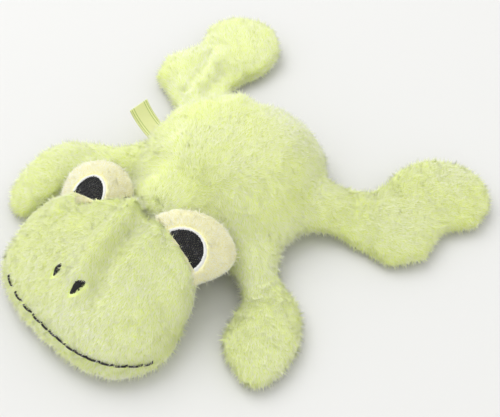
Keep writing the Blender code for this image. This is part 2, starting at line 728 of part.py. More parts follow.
def make_label(body_frame, body_surface, collection):
    """A folded ribbon sewn in the side seam between the left arm and leg, curling up and away."""
    middle = body_frame.origin - (BODY_WIDTH, LABEL_FORWARD)
    level = BODY_SEAM_HEIGHT + CLEARANCE
    beside = middle[1] + np.linspace(-LABEL_WIDTH / 2, LABEL_WIDTH / 2, SPAN_POINTS)
    rim = min(body_surface.ray_cast((middle[0], y, level), (1, 0, 0))[0].x for y in beside)
    frame = Frame(rim - CLEARANCE, middle[1], math.pi)
    pivot = add_pivot("label_pivot", frame, BODY_SEAM_HEIGHT, collection)
    tilt = LABEL_START_TILT + LABEL_BEND * np.linspace(0, 1, LABEL_NET[0] + 1)
    between = (tilt[:-1] + tilt[1:]) / 2
    step = LABEL_LENGTH / LABEL_NET[0]
    out = np.concatenate([[0], np.cumsum(step * np.cos(between))]) + LABEL_THICKNESS / 2
    up = np.concatenate([[0], np.cumsum(step * np.sin(between))]) + BODY_SEAM_HEIGHT
    across = np.linspace(-LABEL_WIDTH / 2, LABEL_WIDTH / 2, LABEL_NET[1] + 1)
    faces = []
    for shift in (LABEL_THICKNESS / 2, -LABEL_THICKNESS / 2):
        plan = np.dstack(np.meshgrid(out - shift * np.sin(tilt), across, indexing="ij"))
        heights = np.repeat((up + shift * np.cos(tilt))[:, None], len(across), axis=1)
        faces.append(raised(frame, plan, heights))
    add_piece("label_tab", layer_mesh("label_tab", *faces), RIBBON_LIME, pivot, collection)


def make_frog():
    clear_scene()
    frog = new_collection("plush_frog", False)
    cutters = new_collection("cutters", True)
    body_frame, body_surface = make_body(frog)
    make_head(frog, cutters)
    for kind in LIMBS:
        for side in SIDES:
            make_limb(kind, side, body_frame, frog)
    make_label(body_frame, body_surface, frog)


make_frog()
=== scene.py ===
# %% [markdown]
# # Plush frog
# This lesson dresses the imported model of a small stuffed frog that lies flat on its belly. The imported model
# gives the true sizes and the bodies that move. Each step below makes one part of the look: the sewn cover,
# its nap, the eyes, the stitches, the label, the floor and the light.

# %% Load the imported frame
import json
import math

import bmesh
import bpy
import numpy as np
from mathutils import Matrix, Vector
from mathutils.bvhtree import BVHTree
from mathutils.kdtree import KDTree


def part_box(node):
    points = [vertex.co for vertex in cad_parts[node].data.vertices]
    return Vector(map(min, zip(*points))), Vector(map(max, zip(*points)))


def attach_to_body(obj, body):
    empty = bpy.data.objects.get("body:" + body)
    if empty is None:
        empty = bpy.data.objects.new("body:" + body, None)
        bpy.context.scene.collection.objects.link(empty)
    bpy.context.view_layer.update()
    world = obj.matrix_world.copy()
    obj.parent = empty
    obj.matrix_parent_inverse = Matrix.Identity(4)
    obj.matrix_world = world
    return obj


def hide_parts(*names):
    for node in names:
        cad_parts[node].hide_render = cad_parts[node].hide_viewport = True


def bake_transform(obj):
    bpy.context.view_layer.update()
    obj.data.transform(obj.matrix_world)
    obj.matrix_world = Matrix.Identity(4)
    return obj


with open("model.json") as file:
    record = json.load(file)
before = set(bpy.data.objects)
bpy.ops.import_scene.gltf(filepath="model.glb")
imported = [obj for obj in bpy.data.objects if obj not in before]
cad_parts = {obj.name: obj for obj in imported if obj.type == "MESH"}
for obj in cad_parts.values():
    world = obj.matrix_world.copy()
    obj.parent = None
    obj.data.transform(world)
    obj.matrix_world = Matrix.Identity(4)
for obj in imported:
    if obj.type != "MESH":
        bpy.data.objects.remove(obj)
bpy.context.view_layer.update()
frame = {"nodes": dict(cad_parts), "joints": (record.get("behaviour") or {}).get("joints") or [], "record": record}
scene = bpy.context.scene
scene.view_settings.view_transform = "Standard"
MM = 0.001

# %% [markdown]
# ## Writing nodes as formulas
# A node tree is easier to read as a formula than as boxes. Wire stands for one output socket, so that
# `tip * 0.4 + 0.6` adds the Math nodes by itself. Graph.node() adds any other node, with its settings first
# and then its inputs.


# %% Node helpers
class Wire:
    """One output socket that can be added, multiplied and so on."""

    def __init__(self, graph, socket):
        self.graph, self.socket = graph, socket

    def __add__(self, other):
        return self.graph.math("ADD", self, other)

    def __sub__(self, other):
        return self.graph.math("SUBTRACT", self, other)

    def __rsub__(self, other):
        return self.graph.math("SUBTRACT", other, self)

    def __mul__(self, other):
        return self.graph.math("MULTIPLY", self, other)

    __radd__, __rmul__ = __add__, __mul__


class Graph:
    """A node tree that is being filled in."""

    def __init__(self, tree):
        self.tree = tree

    def node(self, kind, inputs=None, output=0, **settings):
        made = self.tree.nodes.new(kind)
        for name, value in settings.items():
            setattr(made, name, value)
        for key, value in (inputs or {}).items():
            if isinstance(value, Wire):
                self.tree.links.new(value.socket, made.inputs[key])
            else:
                made.inputs[key].default_value = value
        return Wire(self, made.outputs[output])

    def math(self, operation, first, second, third=0.5):
        return self.node("ShaderNodeMath", {0: first, 1: second, 2: third}, operation=operation)

    def mix(self, share, first, second):
        """A colour between two others."""
        return self.node("ShaderNodeMix", {0: share, 6: first, 7: second}, 2, data_type="RGBA")

    def noise(self, place, scale, detail, output=0):
        return self.node("ShaderNodeTexNoise", {"Vector": place, "Scale": scale, "Detail": detail}, output)

    def vector(self, operation, first, second, output=0):
        return self.node("ShaderNodeVectorMath", {0: first, 1: second}, output, operation=operation)

    def scaled(self, vector, share):
        return self.node("ShaderNodeVectorMath", {0: vector, "Scale": share}, operation="SCALE")

    def chance(self, low, high, seed):
        """A random value for each point."""
        return self.node("FunctionNodeRandomValue", {2: low, 3: high, "Seed": seed}, 1, data_type="FLOAT")

    def named(self, name, data_type="FLOAT"):
        """A value that the mesh keeps under a name."""
        return self.node("GeometryNodeInputNamedAttribute", {"Name": name}, data_type=data_type)

    def keep(self, geometry, name, value, data_type):
        """Keeps a value at each point under a name."""
        values = {"Geometry": geometry, "Name": name, "Value": value}
        return self.node("GeometryNodeStoreNamedAttribute", values, data_type=data_type, domain="POINT")


def rgb(red, green, blue):
    """A colour as it looks on screen, 0 to 255, in the linear values that sockets take."""
    shares = np.array([red, green, blue]) / 255
    return (*np.where(shares < 0.04045, shares / 12.92, ((shares + 0.055) / 1.055) ** 2.4).tolist(), 1.0)


def material(name, roughness, **constants):
    """A Principled material, its graph and its shader node. constants are values of the shader's own sockets."""
    made = bpy.data.materials.new(name)
    made.use_nodes = True
    shader = made.node_tree.nodes["Principled BSDF"]
    shader.inputs["Roughness"].default_value = roughness
    for key, value in constants.items():
        shader.inputs[key.replace("_", " ")].default_value = value
    return made, Graph(made.node_tree), shader


def feed(wire, shader, socket):
    wire.graph.tree.links.new(wire.socket, shader.inputs[socket])


# %% [markdown]
# ## The plush cloth and its nap
# Plush is a knitted backing with a dense pile of fine fibres. The cover under the nap is the backing: deeper in
# colour, because little light reaches it. Each tuft of the nap is deep lime at its root and pale at its tip: the pale
# tip is the fibres' own, and the deeper root is partly painted shade down in the pile. Each tuft carries a tone of its
# own, so that no two neighbours match, and broad patches make the tips paler, partly as wear and partly as painted
# highlight. A soft sheen stands for the pale rim that plush shows where it turns away from the eye.


# %% Plush materials
KNIT_SCALE, KNIT_HEIGHT = 900, 0.4 * MM
# The size of the broad patches that make tips paler: partly wear, partly painted highlight
WEAR_AND_HIGHLIGHT_SCALE = 22
# How pale a tip is: by the tuft's own tone and by broad patches, partly wear and partly painted highlight, less a
# fixed share
TIP_BY_TONE, TIP_BY_WEAR_AND_HIGHLIGHT, TIP_LESS = 0.9, 1.6, 0.62


def plush_backing(name, colour, deep):
    made, graph, shader = material(name, 0.95)
    place = graph.node("ShaderNodeTexCoord", output=3)
    knit = graph.noise(place, KNIT_SCALE, 3)
    feed(graph.mix(knit, deep, colour), shader, "Base Color")
    bump = graph.node("ShaderNodeBump", {"Height": knit, "Distance": KNIT_HEIGHT, "Strength": 0.6})
    feed(bump, shader, "Normal")
    return made


def plush_nap(name, root, middle, tip):
    made, graph, shader = material(name, 0.9, Sheen_Weight=0.5, Sheen_Roughness=0.4)
    place = graph.node("ShaderNodeTexCoord", output=3)
    height = graph.node("ShaderNodeAttribute", output=2, attribute_name="tuft_height")
    tone = graph.node("ShaderNodeAttribute", output=2, attribute_name="tuft_tone")
    # Broad patches with paler tips: partly wear, partly painted highlight
    wear_and_highlight = graph.noise(place, WEAR_AND_HIGHLIGHT_SCALE, 3)
    pale = height * (tone * TIP_BY_TONE + wear_and_highlight * TIP_BY_WEAR_AND_HIGHLIGHT - TIP_LESS)
    # The deeper root colour is partly painted shade down in the pile; the pale tip is the fibres' own
    feed(graph.mix(pale, graph.mix(height, root, middle), tip), shader, "Base Color")
    return made


LIME_BACKING = plush_backing("lime plush backing", rgb(246, 254, 186), rgb(234, 250, 150))
# In each nap the deeper root colour is partly painted shade down in the pile; the pale tip is the fibres' own
LIME_NAP = plush_nap("lime plush nap", rgb(238, 255, 110), rgb(249, 255, 186), rgb(255, 255, 248))
CREAM_BACKING = plush_backing("cream plush backing", rgb(254, 252, 212), rgb(248, 244, 190))
CREAM_NAP = plush_nap("cream plush nap", rgb(244, 236, 144), rgb(254, 252, 206), rgb(255, 255, 250))

# %% [markdown]
# ## One smooth cover from many faceted panels
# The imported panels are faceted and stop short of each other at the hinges, where the real cloth runs on. So
# the panels are joined with a soft pad at each hinge, remade as one even skin of small squares by a voxel
# remesh, and smoothed. The skin is then cut through at each hinge, a little inside the body, so that every
# limb has a cover of its own whose first edge stays on the body's.

# %% Read the hinges
VOXEL = 1.8 * MM
HINGE_ZONE = 24 * MM
joints = {joint["child"]: joint for joint in frame["joints"]}


class Hinge:
    """A sewn hinge: its place, the direction that the limb runs in, the one along the seam, and its soft pad."""

    def __init__(self, joint, half_width, pad_out, pad_bottom, pad_top):
        self.place = Vector(joint["pos_m"])
        axis = Vector(joint["axis"])
        self.out = Vector((-axis.y, axis.x, 0))
        self.along = Vector((self.out.y, -self.out.x, 0))
        self.half_width, self.pad_out, self.pad_bottom, self.pad_top = half_width, pad_out, pad_bottom, pad_top

    def point(self, distance):
        return self.place + self.out * distance


# Each hinge: half its seam's length, how far its pad reaches out, and the pad's lowest and highest places
HINGES = {
    "arm_left": Hinge(joints["arm_left"], 17 * MM, 15 * MM, 2 * MM, 17 * MM),
    "arm_right": Hinge(joints["arm_right"], 18 * MM, 21 * MM, 1 * MM, 22 * MM),
    "leg_left": Hinge(joints["leg_left"], 20 * MM, 17 * MM, 2 * MM, 19 * MM),
    "leg_right": Hinge(joints["leg_right"], 21 * MM, 22 * MM, 1 * MM, 22 * MM),
    "head": Hinge(joints["head"], 17 * MM, 17 * MM, 2 * MM, 40 * MM),
}
# A limb's cover starts this far before its hinge, inside the body
CUT_BEFORE = -4 * MM
TURN_AFTER = 7 * MM


# %% Mesh helpers
def mesh_object(name, mesh):
    made = bpy.data.objects.new(name, mesh)
    scene.collection.objects.link(made)
    return made


def rows_of(items, field, kind=np.float32):
    """One field of every item, as rows of three."""
    found = np.empty(len(items) * 3, kind)
    items.foreach_get(field, found)
    return found.reshape(-1, 3)


def points_of(mesh):
    return rows_of(mesh.vertices, "co", np.float64)


def normals_of(mesh):
    return rows_of(mesh.vertex_normals, "vector")


def edges_of(mesh):
    found = np.empty(len(mesh.edges) * 2, np.int32)
    mesh.edges.foreach_get("vertices", found)
    return found.reshape(-1, 2)


def set_points(mesh, points):
    mesh.vertices.foreach_set("co", np.ascontiguousarray(points).ravel())
    mesh.update()


def smooth_shaded(mesh):
    mesh.polygons.foreach_set("use_smooth", [True] * len(mesh.polygons))


def store(mesh, name, kind, values, domain="POINT"):
    """Keeps a value for each point or face of the mesh under a name."""
    field = "vector" if kind == "FLOAT_VECTOR" else "value"
    mesh.attributes.new(name, kind, domain).data.foreach_set(field, np.ravel(values))


def baked(obj):
    """The object's mesh with its modifiers applied, and the modifiers removed."""
    graph = bpy.context.evaluated_depsgraph_get()
    made = bpy.data.meshes.new_from_object(obj.evaluated_get(graph))
    obj.modifiers.clear()
    obj.data = made
    return made


def run_tree(obj, tree, **values):
    """Gives the object a Geometry Nodes modifier with these named inputs, and keeps what it makes."""
    modifier = obj.modifiers.new(tree.name, "NODES")
    modifier.node_group = tree
    for item in tree.interface.items_tree:
        if item.in_out == "INPUT" and item.name in values:
            modifier[item.identifier] = values[item.name]
    return baked(obj)


def remade(name, nodes, voxel, pads=()):
    """One closed skin of small squares round the given nodes and soft pads."""
    work = bmesh.new()
    for node in nodes:
        work.from_mesh(frame["nodes"][node].data)
    bmesh.ops.remove_doubles(work, verts=work.verts, dist=1e-6)
    for matrix in pads:
        bmesh.ops.create_uvsphere(work, u_segments=32, v_segments=16, radius=1, matrix=matrix)
    mesh = bpy.data.meshes.new(name)
    work.to_mesh(mesh)
    work.free()
    made = mesh_object(name, mesh)
    remesh = made.modifiers.new("even squares", "REMESH")
    remesh.mode = "VOXEL"
    remesh.voxel_size = voxel
    baked(made)
    keep_largest(made.data)
    return made


def islands(work):
    """The connected groups of faces of a bmesh, largest first."""
    seen, found = set(), []
    for first in work.faces:
        if first in seen:
            continue
        seen.add(first)
        group, queue = [], [first]
        while queue:
            face = queue.pop()
            group.append(face)
            for edge in face.edges:
                for near in edge.link_faces:
                    if near not in seen:
                        seen.add(near)
                        queue.append(near)
        found.append(group)
    return sorted(found, key=len, reverse=True)


def keep_largest(mesh):
    work = bmesh.new()
    work.from_mesh(mesh)
    spare = [face for group in islands(work)[1:] for face in group]
    bmesh.ops.delete(work, geom=spare, context="FACES")
    work.to_mesh(mesh)
    work.free()


def relaxed(points, edges, shares, rounds):
    """Points drawn towards the middle of their neighbours, each by its own share a round."""
    count = np.bincount(edges.ravel(), minlength=len(points))[:, None]
    both = np.vstack([edges, edges[:, ::-1]])
    for _ in range(rounds):
        total = np.stack([np.bincount(both[:, 0], points[both[:, 1], k], len(points)) for k in range(3)], 1)
        points = points + shares[:, None] * (total / count - points)
    return points


def evened(points, edges, rounds):
    """The same, by half everywhere."""
    return relaxed(points, edges, np.full(len(points), 0.5), rounds)


# %% Measures of the face
nostrils = [(sum(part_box(f"nostril_{side}"), Vector()) / 2) for side in ("left", "right")]
between = (nostrils[0] + nostrils[1]) / 2 - HINGES["head"].place
FACE_AHEAD = Vector((between.x, between.y)).normalized()
FACE_RIGHT = Vector((-FACE_AHEAD.y, FACE_AHEAD.x))


def face_place(ahead, right, height):
    """A place given as millimetres ahead of the neck, to the right of the face's middle, and above the floor."""
    plan = HINGES["head"].place.xy + (FACE_AHEAD * ahead + FACE_RIGHT * right) * MM
    return Vector((plan.x, plan.y, height * MM))


def on_face(line):
    """The same on the plan only, for a line of places."""
    return np.array([face_place(*spot, 0).xy for spot in line])


def on_plan(line):
    """A line of places on the plan, given in millimetres."""
    return np.array(line) * MM


# %% Join, remake and smooth the cover
def hinge_pad(hinge, ahead=1 * MM, wider=1.0, higher=0.0):
    turn = Matrix((hinge.out, hinge.along, (0, 0, 1))).transposed().to_4x4()
    middle = hinge.point(ahead)
    top = hinge.pad_top + higher
    middle.z = (hinge.pad_bottom + top) / 2
    size = (hinge.pad_out * wider, hinge.half_width * wider, (top - hinge.pad_bottom) / 2, 1)
    return Matrix.Translation(middle) @ turn @ Matrix.Diagonal(size)


LIMBS = ("arm_left", "arm_right", "leg_left", "leg_right")
COVERED = {"body": ["body_back_panel", "body_belly_panel", "body_filling"]}
COVERED["head"] = ["head_face_panel", "head_chin_panel", "head_filling"]
for limb in LIMBS:
    COVERED[limb] = [f"{limb}_{part}" for part in ("upper_panel", "under_panel", "filling")]


def near_hinge(points, hinge, reach):
    """1 at the hinge's line, falling to 0 at the given reach."""
    away = points - np.array(hinge.place)
    along = np.maximum(np.abs(away @ np.array(hinge.along)) - hinge.half_width, 0)
    return np.clip(1 - np.hypot(away @ np.array(hinge.out), along) / reach, 0, 1)


SOFT_SHARE, SOFT_ROUNDS, EVEN_ROUNDS = 0.6, 36, 6
PAD_ZONE = 14 * MM
HEAD_ZONE = 18 * MM
# Soft pads that fill out the right cheek, in the face's measures, and their half sizes
CHEEK_PADS = ((20, 35, 28), (26, 43, 25), (34, 49, 22))
CHEEK_SIZE = (11 * MM, 11 * MM, 13 * MM)


def smooth_cover(name, nodes, hinges, reach, pads=()):
    """The smoothed skin round some nodes and pads. It is softest near the hinges and the pads."""
    made = remade(name, nodes, VOXEL, [hinge_pad(hinge) for hinge in hinges] + list(pads))
    skin, edges = points_of(made.data), edges_of(made.data)
    soft = [near_hinge(skin, hinge, reach) for hinge in hinges]
    for pad in pads:
        away = np.linalg.norm(skin - np.array(pad.translation), axis=1)
        soft.append(np.clip(1.6 - away / PAD_ZONE, 0, 1))
    soft = np.max(soft, axis=0)
    skin = relaxed(skin, edges, SOFT_SHARE * np.minimum(2 * soft, 1), SOFT_ROUNDS)
    skin = evened(skin, edges, EVEN_ROUNDS)
    set_points(made.data, skin)
    print(name, len(made.data.polygons), "faces, lowest point", round(float(skin[:, 2].min()) / MM, 2), "mm")
    return made


joined = sum((COVERED[name] for name in ("body", *LIMBS)), [])
neck = hinge_pad(HINGES["head"], ahead=-15 * MM, wider=1.7, higher=-2 * MM)
cover = smooth_cover("body and limbs", joined, [HINGES[limb] for limb in LIMBS], HINGE_ZONE, [neck])
cheek = [Matrix.Translation(face_place(*spot)) @ Matrix.Diagonal((*CHEEK_SIZE, 1)) for spot in CHEEK_PADS]
head_cover = smooth_cover("head", COVERED["head"], [HINGES["head"]], HEAD_ZONE, cheek)


# %% Where the seams run
def seam_points(upper, under):
    """Points every half millimetre along the seam where two panels meet."""
    reach = 0.6 * MM
    upper_points, under_points = (points_of(frame["nodes"][node].data) for node in (upper, under))
    on_seam = distances(upper_points, under_points) < reach
    found = []
    for a, b in edges_of(frame["nodes"][upper].data):
        if on_seam[a] and on_seam[b]:
            steps = max(int(np.linalg.norm(upper_points[a] - upper_points[b]) / (0.5 * MM)), 1)
            shares = (np.arange(steps) / steps)[:, None]
            found.append(upper_points[a] + shares * (upper_points[b] - upper_points[a]))
    return np.vstack(found)


def distances(points, targets):
    """How far each point is from the nearest of the targets."""
    tree = KDTree(len(targets))
    for k, target in enumerate(targets):
        tree.insert(target, k)
    tree.balance()
    return np.array([tree.find(point)[2] for point in points])


seams = {"body": seam_points("body_back_panel", "body_belly_panel")}
seams["head"] = seam_points("head_face_panel", "head_chin_panel")
for limb in LIMBS:
    seams[limb] = seam_points(limb + "_upper_panel", limb + "_under_panel")
print("seam points", {name: len(points) for name, points in seams.items()})

# %% [markdown]
# ## Puckers from a cloth simulation
# A sewn cover is a little larger than the stuffing needs, so it buckles softly between its seams. Blender's
# Cloth gives that for free: the skin is held along its seams and where it rests, grows a few per cent, and is
# pressed outward from inside for twenty frames. How far a point may move is capped, so that the forms keep
# their measured size.

# %% Pucker the covers
CLOTH_GROWTH = -0.025
CLOTH_PRESSURE = 3.0
MOST_MOVED = 0.9 * MM
CLOTH_FRAMES = 20
# The cloth is held this near a seam or a hinge, and where it rests on the floor
HELD_BY_SEAM, HELD_BY_HINGE = 2.5 * MM, 14 * MM
RESTS_BELOW, RESTS_FADE = 3 * MM, 2 * MM


def pucker(obj, seam, hinges):
    """Runs the cloth pass on a skin and keeps its result."""
    mesh = obj.data
    before = points_of(mesh)
    held = np.exp(-((distances(before, seam) / HELD_BY_SEAM) ** 2))
    held = np.maximum(held, np.clip((RESTS_BELOW - before[:, 2]) / RESTS_FADE, 0, 1))
    for hinge in hinges:
        held = np.maximum(held, np.minimum(1, 1.5 * near_hinge(before, hinge, HELD_BY_HINGE)))
    group = obj.vertex_groups.new(name="held")
    for k, share in enumerate(held):
        group.add([k], float(share), "REPLACE")
    modifier = obj.modifiers.new("puckers", "CLOTH")
    cloth = modifier.settings
    cloth.quality = 4
    cloth.mass = 0.1
    cloth.tension_stiffness = cloth.compression_stiffness = 12
    cloth.shear_stiffness = 4
    cloth.bending_stiffness = 0.3
    cloth.shrink_min = CLOTH_GROWTH
    cloth.vertex_group_mass = "held"
    cloth.pin_stiffness = 1
    cloth.use_pressure = True
    cloth.uniform_pressure_force = CLOTH_PRESSURE
    cloth.effector_weights.gravity = 0
    modifier.point_cache.frame_start, modifier.point_cache.frame_end = 1, CLOTH_FRAMES
    for moment in range(1, CLOTH_FRAMES + 1):
        scene.frame_set(moment)
    graph = bpy.context.evaluated_depsgraph_get()
    moved = points_of(obj.evaluated_get(graph).data) - before
    obj.modifiers.clear()
    obj.vertex_groups.clear()
    scene.frame_set(1)
    size = np.linalg.norm(moved, axis=1, keepdims=True)
    print(obj.name, "moved", (np.percentile(size, (50, 90, 100)) / MM).round(2), "mm")
    after = before + moved * np.minimum(1, MOST_MOVED / (size + 1e-9))
    set_points(mesh, evened(after, edges_of(mesh), 3))


limb_seams = np.vstack([seams[name] for name in ("body", *LIMBS)])
pucker(cover, limb_seams, [HINGES[limb] for limb in LIMBS])
pucker(head_cover, seams["head"], [HINGES["head"]])
for piece in (cover, head_cover):
    piece.modifiers.new("finer squares", "SUBSURF").levels = 1
    baked(piece)


# %% Cut the cover at the hinges
# Faces are cut this near a hinge's plane, and this far past the ends of its seam
CUT_NEAR, CUT_PAST = 4 * VOXEL, 8 * MM


def tree_of(nodes):
    """A search tree of some nodes' triangles."""
    work = bmesh.new()
    for node in nodes:
        work.from_mesh(frame["nodes"][node].data)
    found = BVHTree.FromBMesh(work)
    work.free()
    return found


def owner(place, trees):
    """The body whose cover this place belongs to."""
    nearest = min(trees, key=lambda name: trees[name].find_nearest(place)[3])
    for limb in LIMBS:
        hinge = HINGES[limb]
        away = place - hinge.point(CUT_BEFORE)
        if nearest in (limb, "body") and away.dot(hinge.out) > 0:
            if nearest == limb or abs(away.dot(hinge.along)) < hinge.half_width:
                return limb
    return "body"


def cut_cover(mesh):
    """The cover as separate closed meshes, one for each body."""
    work = bmesh.new()
    work.from_mesh(mesh)
    for limb in LIMBS:
        hinge = HINGES[limb]
        start = hinge.point(CUT_BEFORE)
        geometry = set()
        for face in work.faces:
            away = face.calc_center_median() - start
            if abs(away.dot(hinge.out)) < CUT_NEAR and abs(away.dot(hinge.along)) < hinge.half_width + CUT_PAST:
                geometry.update((face, *face.edges, *face.verts))
        bmesh.ops.bisect_plane(work, geom=list(geometry), plane_co=start, plane_no=hinge.out)
    has_nap = work.faces.layers.bool.new("has_nap")
    skin_normal = work.verts.layers.float_vector.new("skin_normal")
    work.normal_update()
    for vertex in work.verts:
        vertex[skin_normal] = vertex.normal
    trees = {name: tree_of(COVERED[name]) for name in ("body", *LIMBS)}
    work.faces.ensure_lookup_table()
    work.faces.index_update()
    owners = [owner(face.calc_center_median(), trees) for face in work.faces]
    for face in work.faces:
        face[has_nap] = True
    meshes = {}
    for name in trees:
        part = work.copy()
        part.faces.ensure_lookup_table()
        spare = [part.faces[k] for k, found in enumerate(owners) if found != name]
        bmesh.ops.delete(part, geom=spare, context="FACES")
        for group in islands(part)[1:]:
            print(name, "loses an island of", len(group))
        rims = [edge for edge in part.edges if edge.is_boundary]
        for edge in rims:
            edge.smooth = False
        bmesh.ops.holes_fill(part, edges=rims, sides=0)
        bmesh.ops.recalc_face_normals(part, faces=part.faces)
        meshes[name] = bpy.data.meshes.new(name + "_cover")
        part.to_mesh(meshes[name])
        part.free()
    work.free()
    return meshes


cover_meshes = cut_cover(cover.data)
cover_meshes["head"] = head_cover.data
store(head_cover.data, "has_nap", "BOOLEAN", [True] * len(head_cover.data.polygons), "FACE")
store(head_cover.data, "skin_normal", "FLOAT_VECTOR", normals_of(head_cover.data))
for spare in (cover, head_cover):
    bpy.data.objects.remove(spare)

# %% [markdown]
# ## Folds, seams and the way the nap lies
# The limp toy keeps some folds: a rounded ridge runs down the face from between the eyes, with a valley on its
# right, and creases cross the legs. Each is a line on the plan that presses the cover in or lifts it. Every
# cover also gets a groove along its seam, and the share of nap that it carries: less in the groove and on
# the belly, which rubs on the floor.

# %% Folds
# Each fold: its line on the plan, how far it lifts the cover, and its half width
FOLDS = {
    "head": [
        (on_face([(7, -2), (15, -1), (27, 1), (38, 2), (48, 3), (57, 4), (72, 6)]), 3.9 * MM, 5.5 * MM),
        (on_face([(14, 9), (22, 10), (36, 11), (51, 14), (63, 18), (78, 21)]), -3.6 * MM, 5.0 * MM),
        (on_face([(45, -33), (34, -42), (28, -38), (26, -31)]), 3.4 * MM, 5.0 * MM),
        (on_face([(26, -26), (22, -17), (17, -9), (8, 0)]), 2.6 * MM, 5.0 * MM),
        (on_face([(4, 10), (12, 21), (16, 32), (20, 42), (26, 54)]), 3.6 * MM, 5.0 * MM),
        (on_face([(24, 58), (36, 60), (48, 62)]), 1.6 * MM, 9.0 * MM),
    ],
    "leg_left": [
        (on_plan([(-80, 34), (-83.9, 50), (-89.8, 65.7), (-104, 94)]), -1.8 * MM, 3.5 * MM),
        (on_plan([(-90, 77), (-80, 77.5), (-68, 79.5)]), -1.2 * MM, 4.0 * MM),
        (on_plan([(-66, 46), (-71, 56), (-76, 70), (-80, 82)]), -2.0 * MM, 5.0 * MM),
        (on_plan([(-74, 38), (-78, 52), (-83, 68), (-96, 96)]), 1.6 * MM, 6.0 * MM),
    ],
    "leg_right": [(on_plan([(78, 52), (88, 44), (97, 36)]), -0.9 * MM, 4.0 * MM)],
    "arm_right": [(on_plan([(54, -66), (62, -58), (70, -53)]), -0.8 * MM, 4.0 * MM)],
    "arm_left": [(on_plan([(-88, -50), (-80, -38), (-76, -24)]), -0.9 * MM, 4.0 * MM)],
    "body": [
        (on_plan([(44, 42), (48.7, 34.3), (52, 27)]), -0.7 * MM, 2.5 * MM),
        (on_plan([(-66, 16), (-56, 30), (-50, 39), (-40, 48), (-24, 58)]), 4.6 * MM, 16.0 * MM),
    ],
}
# The share of its length over which a fold fades out at each end
FOLD_FADES = 0.18


def fold(points, line, lift, half_width):
    """The points raised or pressed along a line, fading out at its ends."""
    plan = points[:, :2]
    steps = np.linalg.norm(np.diff(line, axis=0), axis=1)
    starts = np.concatenate([[0], np.cumsum(steps)])[:-1]
    nearest, along = np.full(len(plan), np.inf), np.zeros(len(plan))
    for start, end, begins, step in zip(line[:-1], line[1:], starts, steps):
        share = np.clip((plan - start) @ (end - start) / step**2, 0, 1)
        away = np.linalg.norm(plan - start - share[:, None] * (end - start), axis=1)
        along = np.where(away < nearest, (begins + share * step) / steps.sum(), along)
        nearest = np.minimum(nearest, away)
    ends = np.clip(np.minimum(along, 1 - along) / FOLD_FADES, 0, 1)
    return lift * np.exp(-((nearest / half_width) ** 2)) * ends * ends * (3 - 2 * ends)


# %% Dress the covers
SEAM_DEPTH, SEAM_REACH, SEAM_STOPS = 0.7 * MM, 1.5 * MM, 18 * MM
RUFFLED_REACH = 4 * MM
# How much nap is lost in a seam's groove, what the belly keeps, and the slope from which the cloth is belly
NAP_LOST, NAP_BELOW, BELLY_SLOPE = 0.35, 0.3, -0.7
# How much the nap hangs, how soon it spreads out over the body and the limbs, and where it turns to a limb's way
HANGS = 0.9
BODY_SPREAD, LIMB_SPREAD, TURN_ZONE = 120 * MM, 150 * MM, 34 * MM
MIDDLE = Vector(frame["record"]["mounts"][0]["pos_m"])


def brushed_ways(name, points):
    """Which way the nap lies: backward over the body, outward along the head and limbs, and down at their sides."""
    if name == "body":
        ways = (points - np.array(MIDDLE)) / BODY_SPREAD + (0, 1, 0)
        for limb in LIMBS:
            near = np.minimum(1, 1.8 * near_hinge(points, HINGES[limb], TURN_ZONE))[:, None]
            ways = ways * (1 - near) + np.array(HINGES[limb].out) * near
    else:
        ways = np.array(HINGES[name].out) + (points - np.array(HINGES[name].place)) / LIMB_SPREAD
    ways[:, 2] = 0
    ways /= np.linalg.norm(ways, axis=1, keepdims=True) + 1e-6
    ways[:, 2] = -HANGS
    return ways


def dress(name, mesh):
    """Folds a cover, presses its seam in, and keeps what its nap needs to know."""
    points, normals = points_of(mesh), rows_of(mesh.attributes["skin_normal"].data, "vector")
    lift = sum(fold(points, *line) for line in FOLDS[name])
    points = points + normals * (lift * np.clip(normals[:, 2] + 0.5, 0, 1))[:, None]
    away = distances(points, seams[name])
    groove = np.exp(-((away / SEAM_REACH) ** 2))
    for moving, hinge in HINGES.items():
        if name in ("body", moving):
            groove *= 1 - np.minimum(1, 2 * near_hinge(points, hinge, SEAM_STOPS))
    points = points - normals * (SEAM_DEPTH * groove)[:, None]
    points[:, 2] = np.maximum(points[:, 2], 0)
    set_points(mesh, points)
    store(mesh, "nap_share", "FLOAT", (1 - NAP_LOST * groove) * np.where(normals[:, 2] < BELLY_SLOPE, NAP_BELOW, 1))
    store(mesh, "ruffled", "FLOAT", np.exp(-((away / RUFFLED_REACH) ** 2)))
    store(mesh, "brushed", "FLOAT_VECTOR", brushed_ways(name, points))
    smooth_shaded(mesh)
    mesh.materials.clear()
    mesh.materials.append(LIME_BACKING)
    return mesh_object(name + "_cover", mesh)


def attach(piece, name):
    """A piece that rides on a body, the eye lobes on the head; a piece at a sewn hinge keeps its place and rides on
    nothing.
    """
    if name.startswith("eye"):
        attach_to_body(piece, "head")
    elif name in HINGES:
        hinge = HINGES[name]
        hinge.point(CUT_BEFORE)
        hinge.point(TURN_AFTER)
        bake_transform(piece)
    else:
        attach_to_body(piece, name)


covers = {name: dress(name, mesh) for name, mesh in cover_meshes.items()}

# %% [markdown]
# ## The eye lobes
# Each lobe is a small padded half disc in cream plush, sewn on behind the face. It keeps its packed form, made
# smooth by a finer remesh.

